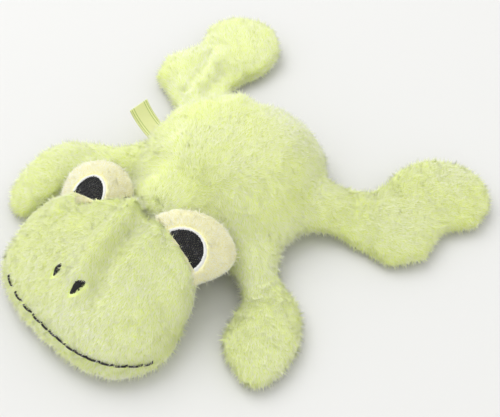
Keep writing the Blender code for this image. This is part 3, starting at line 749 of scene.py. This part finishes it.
# %% Make the eye lobes
LOBE_VOXEL = 1.2 * MM
LOBES = {"left": "eye_left", "right": "eye_right"}
for lobe_name in LOBES.values():
    parts = [f"{lobe_name}_{part}" for part in ("front_panel", "back_panel", "filling")]
    lobe = remade(lobe_name + "_lobe", parts, LOBE_VOXEL)
    set_points(lobe.data, evened(points_of(lobe.data), edges_of(lobe.data), 5))
    lobe.modifiers.new("finer squares", "SUBSURF").levels = 1
    mesh = baked(lobe)
    ways = points_of(mesh) - points_of(frame["nodes"][lobe_name + "_pupil"].data).mean(0)
    ways /= np.linalg.norm(ways, axis=1, keepdims=True)
    ways[:, 2] -= HANGS
    store(mesh, "nap_share", "FLOAT", np.ones(len(ways)))
    store(mesh, "brushed", "FLOAT_VECTOR", ways)
    store(mesh, "has_nap", "BOOLEAN", [True] * len(mesh.polygons), "FACE")
    smooth_shaded(mesh)
    mesh.materials.clear()
    mesh.materials.append(CREAM_BACKING)
    covers[lobe_name] = lobe
    COVERED[lobe_name] = parts

# %% [markdown]
# ## Embroidery
# The pupils, their white rims and the nostrils are embroidered, and the mouth is a running stitch. One small
# Geometry Nodes tree turns any line into thread. The lines are laid on the finished skins by looking straight
# down: rows of short stitches fill a pupil, each dipping at its needle holes, and short stitches cross a rim.


# %% Thread tools
def new_tree(name, **inputs):
    """A new Geometry Nodes tree's graph, and a wire for each of its inputs."""
    tree = bpy.data.node_groups.new(name, "GeometryNodeTree")
    for label, kind in inputs.items():
        tree.interface.new_socket(label, in_out="INPUT", socket_type="NodeSocket" + kind)
    tree.interface.new_socket("Geometry", in_out="OUTPUT", socket_type="NodeSocketGeometry")
    graph = Graph(tree)
    entry = tree.nodes.new("NodeGroupInput")
    return graph, {socket.name: Wire(graph, socket) for socket in entry.outputs if socket.name}


def ended_tree(graph, geometry, look):
    """Makes what the tree made real, gives it its material and hands it out."""
    real = graph.node("GeometryNodeRealizeInstances", {"Geometry": geometry})
    done = graph.node("GeometryNodeSetMaterial", {"Geometry": real, "Material": look})
    graph.tree.links.new(done.socket, graph.tree.nodes.new("NodeGroupOutput").inputs[0])
    return graph.tree


def thread_tree():
    graph, given = new_tree("thread", Geometry="Geometry", Radius="Float", Material="Material")
    line = graph.node("GeometryNodeMeshToCurve", {"Mesh": given["Geometry"]})
    ring = graph.node("GeometryNodeCurvePrimitiveCircle", {"Resolution": 6, "Radius": given["Radius"]})
    tube = graph.node("GeometryNodeCurveToMesh", {"Curve": line, "Profile Curve": ring, "Fill Caps": True})
    return ended_tree(graph, tube, given["Material"])


THREAD_TREE = thread_tree()
STITCHED = []


def sewn(name, lines, radius, look, nodes):
    """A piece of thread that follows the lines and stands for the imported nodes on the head."""
    points, edges = [], []
    for line in lines:
        first = len(points)
        points += [tuple(point) for point in line]
        edges += [(k, k + 1) for k in range(first, len(points) - 1)]
    mesh = bpy.data.meshes.new(name)
    mesh.from_pydata(points, edges, [])
    piece = mesh_object(name, mesh)
    made = run_tree(piece, THREAD_TREE, Radius=radius, Material=look)
    smooth_shaded(made)
    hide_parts(*nodes)
    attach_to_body(piece, "head")
    STITCHED.append(piece)
    print(name, len(lines), "stitches", len(made.polygons), "faces")


def search_tree(mesh, points=None):
    """A search tree of a mesh's faces, with its points where they are or where they are given."""
    corners = points_of(mesh) if points is None else points
    return BVHTree.FromPolygons([tuple(point) for point in corners], [tuple(face.vertices) for face in mesh.polygons])


ABOVE = 200 * MM
SEARCH_STEP = 0.15 * MM
ROW_REACH = 20 * MM
STITCH_POINTS = 6
STITCH_SUNK = 0.15 * MM
LEAST_STITCH = 0.3 * MM
# The left eye looks up, so its pupil and rim are longer one way than they were packed, and narrower across it
EYE_LONG = np.array(FACE_AHEAD * 0.756 + FACE_RIGHT * 0.654)
EYE_ACROSS = np.array((-EYE_LONG[1], EYE_LONG[0]))
LEFT_EYE_SHARES = (1.3, 0.8)
LEFT_EYE_SHIFT = 0.8 * MM


def height_at(tree, plan):
    hit = tree.ray_cast(Vector((plan[0], plan[1], ABOVE)), Vector((0, 0, -1)))[0]
    return hit.z if hit else None


def spans(tree, start, way, places):
    """The places along a line on the plan that lie on a packed patch."""
    return [s for s in places if height_at(tree, start + way * s) is not None]


def patch(node):
    """A packed patch of the eyes: a tree of its faces, and its places on the plan."""
    mesh = frame["nodes"][node].data
    points = points_of(mesh)
    if node.startswith("eye_left"):
        middle = points_of(frame["nodes"]["eye_left_pupil"].data)[:, :2].mean(0)
        away = points[:, :2] - middle
        long = away @ EYE_LONG * LEFT_EYE_SHARES[0]
        across = away @ EYE_ACROSS * LEFT_EYE_SHARES[1] + LEFT_EYE_SHIFT
        points[:, :2] = middle + long[:, None] * EYE_LONG + across[:, None] * EYE_ACROSS
    return search_tree(mesh, points), points[:, :2]


def laid(skin, start, way, begin, end, lift):
    """One stitch: it leaves the cloth, arches over it and goes back in."""
    line = []
    for share in np.linspace(0, 1, STITCH_POINTS):
        spot = start + way * (begin + share * (end - begin))
        height = height_at(skin, spot)
        if height is None:
            return None
        line.append((*spot, height + lift * (math.sin(math.pi * share) ** 0.6) - STITCH_SUNK))
    return line


def filled(node, skin, spacing, stitch, lift):
    """Rows of stitches that fill a packed patch, each row begun at another place of its first stitch."""
    tree, plan = patch(node)
    middle = plan.mean(0)
    step, way = np.linalg.eigh(np.cov((plan - middle).T))[1].T
    reach = np.abs((plan - middle) @ step).max()
    chance = np.random.default_rng(len(node))
    lines = []
    for row, offset in enumerate(np.arange(-reach + spacing / 2, reach, spacing)):
        span = spans(tree, middle + step * offset, way, np.arange(-ROW_REACH, ROW_REACH, SEARCH_STEP))
        if not span:
            continue
        first, last = span[0] + chance.uniform(-0.35, 0.15) * MM, span[-1] + chance.uniform(-0.15, 0.35) * MM
        holes = np.arange(first - (row * 0.37 % 1) * stitch, last + stitch, stitch)
        holes = np.clip(holes + chance.uniform(-0.15, 0.15, len(holes)) * stitch, first, last)
        for begin, end in zip(holes[:-1], holes[1:]):
            if end - begin > LEAST_STITCH:
                lines.append(laid(skin, middle + step * offset, way, begin, end, lift))
    return [line for line in lines if line is not None]


# A rim: how far from its circle it is looked for and in which steps, where its stitches start and their length
RIM_REACH, RIM_STEP, RIM_START, RIM_LENGTH = 4 * MM, 0.1 * MM, 0.5 * MM, 1.7


def radial(node, skin, spacing, lift):
    """Short stitches that cross a crescent from its inner edge to its outer one."""
    tree, plan = patch(node)
    system = np.column_stack([2 * plan, np.ones(len(plan))])
    found = np.linalg.lstsq(system, (plan**2).sum(1), rcond=None)[0]
    middle = found[:2]
    radius = math.sqrt(found[2] + middle @ middle)
    chance = np.random.default_rng(11)
    lines = []
    for turn in np.arange(0, 2 * math.pi, spacing / radius):
        way = np.array([math.cos(turn), math.sin(turn)])
        inside = spans(tree, middle, way, np.arange(radius - RIM_REACH, radius + RIM_REACH, RIM_STEP))
        if len(inside) > 4:
            begin = inside[0] - RIM_START
            lines.append(laid(skin, middle, way, begin, begin + (RIM_LENGTH + chance.uniform(-0.25, 0.25)) * MM, lift))
    return [line for line in lines if line]


def oval(first, last, half_width, skin, lift):
    """Long stitches side by side that fill a slim pointed oval between two places on the face."""
    first, last = on_face([first, last])
    way = (last - first) / np.linalg.norm(last - first)
    step, middle, half = np.array([way[1], -way[0]]), (first + last) / 2, np.linalg.norm(last - first) / 2
    lines = []
    for share in np.linspace(-1, 1, 2 * round(half_width * MM / (0.32 * MM)) + 1):
        reach = half * (1 - abs(share) ** 1.6) ** 0.5 + 0.2 * MM
        lines.append(laid(skin, middle + step * share * half_width * MM, way, -reach, reach, lift))
    return [line for line in lines if line]


# %% Thread materials
# Fine fibres and specks in the thread; on black thread the pale specks are painted glints
FIBRE_SCALE, SPECK_SCALE = 1400, 420
SPECK_FROM, SPECK_CONTRAST = 0.56, 7


def thread_look(name, colour, wear_and_highlight):
    made, graph, shader = material(name, 0.6)
    place = graph.node("ShaderNodeTexCoord", output=3)
    fibres = graph.noise(place, FIBRE_SCALE, 2)
    specks = graph.noise(place, SPECK_SCALE, 2)
    feed(graph.mix((specks - SPECK_FROM) * SPECK_CONTRAST * fibres, colour, wear_and_highlight), shader, "Base Color")
    feed(graph.node("ShaderNodeBump", {"Height": fibres, "Distance": 0.1 * MM, "Strength": 0.5}), shader, "Normal")
    return made


# The black thread's grey specks are painted glints; the white thread's specks are a little darker
BLACK_THREAD = thread_look("black thread", rgb(9, 9, 11), rgb(84, 84, 88))
WHITE_THREAD = thread_look("white thread", rgb(236, 236, 232), rgb(206, 208, 196))

# %% Sew the face
# Each nostril: its two ends in the face's measures, and its half width in millimetres
NOSTRILS = {"left": ((69.9, -8.2), (63.2, -8.9), 1.3), "right": ((71.9, 7.5), (63.4, 10.8), 1.7)}
BLACK_RADIUS, WHITE_RADIUS, MOUTH_RADIUS = 0.27 * MM, 0.24 * MM, 0.62 * MM
head_skin = search_tree(covers["head"].data)
for side in ("left", "right"):
    lobe_skin = search_tree(covers[LOBES[side]].data)
    pupil, rim, nostril = f"eye_{side}_pupil", f"eye_{side}_white_rim", f"nostril_{side}"
    lines = filled(pupil, lobe_skin, spacing=0.42 * MM, stitch=3.4 * MM, lift=0.75 * MM)
    sewn(pupil + "_stitches", lines, BLACK_RADIUS, BLACK_THREAD, [pupil])
    lines = radial(rim, lobe_skin, spacing=0.4 * MM, lift=0.8 * MM)
    sewn(rim + "_stitches", lines, WHITE_RADIUS, WHITE_THREAD, [rim])
    lines = oval(*NOSTRILS[side], head_skin, lift=1.5 * MM)
    sewn(nostril + "_stitches", lines, BLACK_RADIUS, BLACK_THREAD, [nostril])


# The mouth's line: millimetres ahead of the neck, to the right of the face's middle, and above the floor
MOUTH = [
    (80.2, -37.5, 17), (84.1, -30.3, 16.5), (86.9, -21.0, 16), (88.5, -12.0, 16), (89.5, -1.3, 16),
    (90.3, 10.9, 16), (90.0, 25.0, 16), (87.8, 36.8, 16.5), (84.0, 45.8, 16.5), (79.6, 52.0, 15.5),
    (73.8, 57.4, 14), (65.7, 62.0, 12.5),
]


def mouth_stitches():
    """A running stitch with wide gaps at one end and almost none further round."""
    line = np.column_stack([on_face([spot[:2] for spot in MOUTH]), [spot[2] * MM for spot in MOUTH]])
    steps = np.concatenate([[0], np.cumsum(np.linalg.norm(np.diff(line, axis=0), axis=1))])
    chance = np.random.default_rng(5)
    lines, place, total = [], 0.0, steps[-1]
    while place < total - 2 * MM:
        length = chance.uniform(6, 9) * MM
        gap = (-0.5 + 4.2 * max(0, 1 - place / (0.35 * total))) * MM
        stitch = []
        for share in np.linspace(0, 1, 9):
            along = min(place + share * length, total)
            spot = Vector([np.interp(along, steps, line[:, k]) for k in range(3)])
            near, normal, _, _ = head_skin.find_nearest(spot)
            waver = Vector((0, 0, chance.uniform(-0.25, 0.25) * MM))
            stitch.append(near + normal * (1.7 * math.sin(math.pi * share) ** 0.25 - 0.2) * MM + waver)
        lines.append(stitch)
        place += length + gap
    return lines


sewn("mouth_stitches", mouth_stitches(), MOUTH_RADIUS, BLACK_THREAD, ["mouth_thread"])

# %% [markdown]
# ## The nap
# Fur could be a particle system, but hair doesn't export as a mesh. Here Geometry Nodes scatter thousands of
# slim three-sided tufts over each cover, lean them the way the nap was brushed, and turn them into real
# geometry. Each tuft keeps the cover's own normal, so that light rolls over the whole form as it does on
# real plush, where the fibres are too fine to shade one by one.


# %% The nap's node tree
def tuft_object():
    """One slim, flat, three-sided tuft, 1 unit tall, whose height is stored at each of its points."""
    work = bmesh.new()
    corners = [work.verts.new(corner) for corner in ((-1, 0, 0), (1, 0, 0), (0, 0.35, 0), (0, 0.1, 1))]
    for a, b, c in ((0, 1, 3), (1, 2, 3), (2, 0, 3)):
        work.faces.new((corners[a], corners[b], corners[c]))
    mesh = bpy.data.meshes.new("tuft")
    work.to_mesh(mesh)
    work.free()
    mesh.attributes.new("tuft_height", "FLOAT", "POINT").data.foreach_set("value", [0.0, 0.0, 0.0, 1.0])
    smooth_shaded(mesh)
    return mesh_object("tuft", mesh)


# The clumps that lean together, and how far clumps and single tufts stray from the way that the nap was brushed
CLUMP_SCALE, CLUMP_LEAN, STRAY_LEAN = 230.0, 2.2, 0.6
# The share of tufts that stand up, and what a ruffled seam adds to it
STANDING, STANDING_RUFFLED = 0.09, 0.4


def nap_tree():
    graph, given = new_tree(
        "nap", Geometry="Geometry", Tuft="Object", Stitched="Object", Density="Float", Length="Float",
        Width="Float", Lean="Float", Seed="Int", Material="Material",
    )
    thick, brushed = graph.named("nap_share"), graph.named("brushed", "FLOAT_VECTOR")
    scatter = graph.node(
        "GeometryNodeDistributePointsOnFaces",
        {"Mesh": given["Geometry"], "Selection": graph.named("has_nap", "BOOLEAN"), "Seed": given["Seed"]},
        distribute_method="RANDOM",
    )
    scatterer = scatter.socket.node
    graph.tree.links.new((given["Density"] * thick).socket, scatterer.inputs["Density"])
    normal = Wire(graph, scatterer.outputs["Normal"])
    # No tuft grows where thread lies
    stitched = graph.node("GeometryNodeObjectInfo", {"Object": given["Stitched"]}, "Geometry")
    away = graph.node("GeometryNodeProximity", {"Target": stitched}, "Distance", target_element="FACES")
    covered = graph.node("FunctionNodeCompare", {"A": away, "B": BARE_REACH}, operation="LESS_THAN")
    points = graph.node("GeometryNodeDeleteGeometry", {"Geometry": scatter, "Selection": covered}, domain="POINT")
    points = graph.keep(points, "pile_normal", normal, "FLOAT_VECTOR")
    points = graph.keep(points, "tuft_tone", graph.chance(0.0, 1.0, 3), "FLOAT")
    # Each tuft leans along the cloth, with its clump and a little by itself
    place = graph.node("GeometryNodeInputPosition")
    clump = graph.vector("SUBTRACT", graph.noise(place, CLUMP_SCALE, 2.0, 1), (0.5, 0.5, 0.5))
    stray = {0: (-1, -1, -1), 1: (1, 1, 1), "Seed": 5}
    stray = graph.node("FunctionNodeRandomValue", stray, 0, data_type="FLOAT_VECTOR")
    loose = graph.vector("ADD", graph.scaled(clump, CLUMP_LEAN), graph.scaled(stray, STRAY_LEAN))
    standing = graph.named("ruffled") * STANDING_RUFFLED + STANDING
    lying = graph.math("GREATER_THAN", graph.chance(0.0, 1.0, 9), standing)
    lean = graph.vector("ADD", graph.scaled(brushed, given["Lean"] * (lying * 0.8 + 0.2)), loose)
    across = graph.scaled(normal, graph.vector("DOT_PRODUCT", lean, normal, 1))
    aim = graph.vector("ADD", normal, graph.vector("SUBTRACT", lean, across))
    turn = graph.node("FunctionNodeAlignRotationToVector", {"Vector": aim}, axis="Z")
    turn = graph.node(
        "FunctionNodeAlignRotationToVector", {"Rotation": turn, "Vector": normal}, axis="Y", pivot_axis="Z"
    )
    # Standing tufts are longer and a little wider
    size = graph.chance(0.6, 1.3, 7)
    width = given["Width"] * (size * (1.1 - lying * 0.1))
    height = given["Length"] * (size * (1.6 - lying * 0.6)) * (thick * 0.5 + 0.5)
    size = graph.node("ShaderNodeCombineXYZ", {"X": width, "Y": width, "Z": height})
    tuft = graph.node("GeometryNodeObjectInfo", {"Object": given["Tuft"]}, "Geometry")
    tufts = graph.node(
        "GeometryNodeInstanceOnPoints", {"Points": points, "Instance": tuft, "Rotation": turn, "Scale": size}
    )
    return ended_tree(graph, tufts, given["Material"])


# The nostrils' threads stand high, so the cloth round them is kept bare by a copy this much wider and lower
NOSTRIL_WIDER, NOSTRIL_LOWER = 1.3, 1.1 * MM


def stitched_places():
    """All the finished stitches in one object, where no nap grows."""
    work = bmesh.new()
    for piece in STITCHED:
        work.from_mesh(piece.data)
        if piece.name.startswith("nostril"):
            count = len(work.verts)
            work.from_mesh(piece.data)
            work.verts.ensure_lookup_table()
            below = work.verts[count:]
            middle = sum((vertex.co for vertex in below), Vector()) / len(below)
            for vertex in below:
                vertex.co = middle + (vertex.co - middle) * NOSTRIL_WIDER
                vertex.co.z -= NOSTRIL_LOWER
    mesh = bpy.data.meshes.new("stitched_places")
    work.to_mesh(mesh)
    work.free()
    return mesh_object("stitched_places", mesh)


BARE_REACH = 0.4 * MM
TUFT = tuft_object()
PLACES = stitched_places()
NAP_TREE = nap_tree()
FORM_LIGHT = 0.9
FLOOR_GAP = 0.1 * MM


def grow_nap(nap, seed, density, length, width, lean, look):
    """Turns a copy of a cover into its nap, lit mostly by the cover's own normals."""
    values = {"Density": density, "Length": length, "Width": width, "Lean": lean, "Seed": seed, "Material": look}
    mesh = run_tree(nap, NAP_TREE, Tuft=TUFT, Stitched=PLACES, **values)
    points, normals = points_of(mesh), rows_of(mesh.attributes["pile_normal"].data, "vector")
    normals = FORM_LIGHT * normals + (1 - FORM_LIGHT) * normals_of(mesh)
    normals /= np.linalg.norm(normals, axis=1, keepdims=True)
    points[:, 2] = np.maximum(points[:, 2], FLOOR_GAP)
    set_points(mesh, points)
    smooth_shaded(mesh)
    mesh.normals_split_custom_set_from_vertices(normals.tolist())
    mesh.attributes.remove(mesh.attributes["pile_normal"])
    print(nap.name, len(mesh.polygons), "triangles")
    return nap


# %% Grow the nap on every cover
PLUSH = {
    "lime": dict(density=3.4e6, length=2.4 * MM, width=0.23 * MM, lean=2.5, look=LIME_NAP),
    "cream": dict(density=3.6e6, length=2.0 * MM, width=0.22 * MM, lean=2.0, look=CREAM_NAP),
}
UNDER_SLOPE = -0.15


def shares_of(mesh, name):
    """The cover's faces in two or three lots, so that no piece of nap has too many tufts."""
    under = rows_of(mesh.polygon_normals, "vector")[:, 2] < UNDER_SLOPE
    if name not in ("body", "head"):
        return {"upper": ~under, "under": under}
    left = rows_of(mesh.polygons, "center")[:, 0] < MIDDLE.x
    return {"upper_left": ~under & left, "upper_right": ~under & ~left, "under": under}


def share_cover(cover_object, name, lot):
    """A copy of a cover on which only one lot of faces carries nap."""
    made = mesh_object(name, cover_object.data.copy())
    chosen = made.data.attributes["has_nap"].data
    values = np.empty(len(chosen), bool)
    chosen.foreach_get("value", values)
    chosen.foreach_set("value", values & lot)
    return made


for seed, (name, piece) in enumerate(covers.items()):
    shade = "cream" if name.startswith("eye") else "lime"
    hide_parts(*COVERED[name])
    0.7 if shade == "cream" else 0.55
    naps = [
        grow_nap(share_cover(piece, f"{name}_{place}_nap", lot), seed, **PLUSH[shade])
        for place, lot in shares_of(piece.data, name).items()
    ]
    for item in (piece, *naps):
        shade + "_plush"
        attach(item, name)
for spare in (TUFT, PLACES):
    bpy.data.objects.remove(spare)

# %% [markdown]
# ## The side label
# A folded length of woven ribbon is caught in the side seam and curls up. It is modelled as a strip that runs
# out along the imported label, turns at its tip and runs back, then is given its thickness. The weave is fine
# ribs across the strip, and two thin lines run along each edge. It carries no lettering.

# %% Label
LABEL_START, LABEL_BEND = math.radians(12), math.radians(56)
LABEL_LENGTH, LABEL_HALF, LABEL_APART = 25 * MM, 7.1 * MM, 0.30 * MM
LABEL_THICKNESS = 0.35 * MM
# Where the ribbon leaves the seam, and how far its tip has drifted and twisted
LABEL_ASIDE, LABEL_DRIFT, LABEL_TWIST = -2 * MM, -2.5 * MM, 0.2
label_hinge = Vector(joints["label"]["pos_m"])


def label_path(count):
    """The middle line of the label, side on, with its slope."""
    found, spot = [], np.array([label_hinge.x + 1.0 * MM, label_hinge.z + 0.3 * MM])
    for share in np.linspace(0, 1, count):
        slope = LABEL_START + LABEL_BEND * share
        found.append((spot.copy(), slope))
        spot = spot + LABEL_LENGTH / count * np.array([-math.cos(slope), math.sin(slope)])
    return found


def make_label():
    """The ribbon: out along its upper layer, round the fold at its tip and back along the lower one."""
    path = label_path(26)
    upper, lower = (
        [spot + apart * np.array([math.sin(slope), math.cos(slope)]) for spot, slope in path]
        for apart in (LABEL_APART, -LABEL_APART)
    )
    tip, slope = path[-1]
    round_tip = [
        tip + LABEL_APART * np.array([-math.cos(slope + turn), math.sin(slope + turn)])
        for turn in np.linspace(math.pi / 2, -math.pi / 2, 7)[1:-1]
    ]
    side_on = upper + round_tip + lower[::-1]
    across = np.linspace(-LABEL_HALF, LABEL_HALF, 13)
    points = []
    for x, z in side_on:
        out = ((label_hinge.x - x) / LABEL_LENGTH) ** 2
        y = label_hinge.y + LABEL_ASIDE + LABEL_DRIFT * out
        points += [(x, y + aside, z + LABEL_TWIST * out * (aside + LABEL_HALF)) for aside in across]
    wide = len(across)
    faces = [
        (k * wide + j, k * wide + j + 1, (k + 1) * wide + j + 1, (k + 1) * wide + j)
        for k in range(len(side_on) - 1)
        for j in range(wide - 1)
    ]
    mesh = bpy.data.meshes.new("label_ribbon")
    mesh.from_pydata(points, [], faces)
    layer = mesh.uv_layers.new(name="ribbon")
    for loop in mesh.loops:
        row, column = divmod(loop.vertex_index, wide)
        layer.data[loop.index].uv = (row / (len(side_on) - 1), column / (wide - 1))
    piece = mesh_object("label_ribbon", mesh)
    wall = piece.modifiers.new("cloth thickness", "SOLIDIFY")
    wall.thickness = LABEL_THICKNESS
    wall.offset = 0
    smooth_shaded(baked(piece))
    return piece


# The woven lines: how far each is from the ribbon's edge, their half width, and how strong they are
LINE_PLACES, LINE_HALF, LINE_SHARE = (0.09, 0.2), 0.024, 0.7
RIB_TURNS, WARP_TURNS = 620, 300


def ribbon_look():
    made, graph, shader = material("lime ribbon", 0.55, Sheen_Weight=0.3)
    place = graph.node("ShaderNodeUVMap", uv_map="ribbon")
    split = graph.node("ShaderNodeSeparateXYZ", {0: place})
    across = Wire(graph, split.socket.node.outputs["Y"])
    from_edge = graph.math("MINIMUM", across, 1 - across)
    outer, inner = (graph.math("COMPARE", from_edge, where, LINE_HALF) for where in LINE_PLACES)
    weave = graph.math("SINE", split * RIB_TURNS, 0.0) * graph.math("SINE", across * WARP_TURNS, 0.0) * 0.5 + 0.5
    body = graph.mix(weave, rgb(248, 254, 168), rgb(254, 255, 208))
    feed(graph.mix((outer + inner) * LINE_SHARE, body, rgb(186, 206, 104)), shader, "Base Color")
    feed(graph.node("ShaderNodeBump", {"Height": weave, "Distance": 0.15 * MM, "Strength": 0.7}), shader, "Normal")
    return made


label = make_label()
label.data.materials.append(ribbon_look())
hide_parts("label_tab")
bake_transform(label)

# %% [markdown]
# ## Floor, light and camera
# The floor is plain and pale, so that only the toy carries colour. One broad lamp behind and to the left gives
# the soft shadow that falls towards the camera, and an even sky fills it in.

# %% Floor
FLOOR_HALF = 3.0
floor_mesh = bpy.data.meshes.new("floor")
corners = [(x * FLOOR_HALF, y * FLOOR_HALF, 0) for x, y in ((-1, -1), (1, -1), (1, 1), (-1, 1))]
floor_mesh.from_pydata(corners, [], [(0, 1, 2, 3)])
floor = mesh_object("floor", floor_mesh)
pale_floor, _, shader = material("pale floor", 0.8)
shader.inputs["Base Color"].default_value = rgb(220, 220, 218)
floor_mesh.materials.append(pale_floor)

# %% Light
world = bpy.data.worlds.new("even sky")
scene.world = world
world.use_nodes = True
sky = world.node_tree.nodes["Background"]
sky.inputs["Color"].default_value = (1, 1, 1, 1)
sky.inputs["Strength"].default_value = 0.98
lamp = bpy.data.lights.new("broad lamp", "AREA")
lamp.shape = "DISK"
lamp.size = 2.0
lamp.energy = 22
lamp_object = bpy.data.objects.new("broad lamp", lamp)
scene.collection.objects.link(lamp_object)
lamp_object.location = (-1.25, 0.05, 2.0)
lamp_object.rotation_euler = (Vector((0, 0, 0)) - lamp_object.location).to_track_quat("-Z", "Y").to_euler()

# %% Camera
camera = bpy.data.cameras.new("camera")
camera.lens = 64.8
camera.sensor_width = 36
camera_object = bpy.data.objects.new("camera", camera)
scene.collection.objects.link(camera_object)
scene.camera = camera_object
HEADING, ELEVATION, DISTANCE = math.radians(-46.83), math.radians(50.06), 567.9 * MM
TARGET = Vector((16.3, 14.6, 0)) * MM
ahead = Vector(
    (math.sin(HEADING) * math.cos(ELEVATION), math.cos(HEADING) * math.cos(ELEVATION), -math.sin(ELEVATION))
)
camera_object.location = TARGET - ahead * DISTANCE
camera_object.rotation_euler = ahead.to_track_quat("-Z", "Y").to_euler()
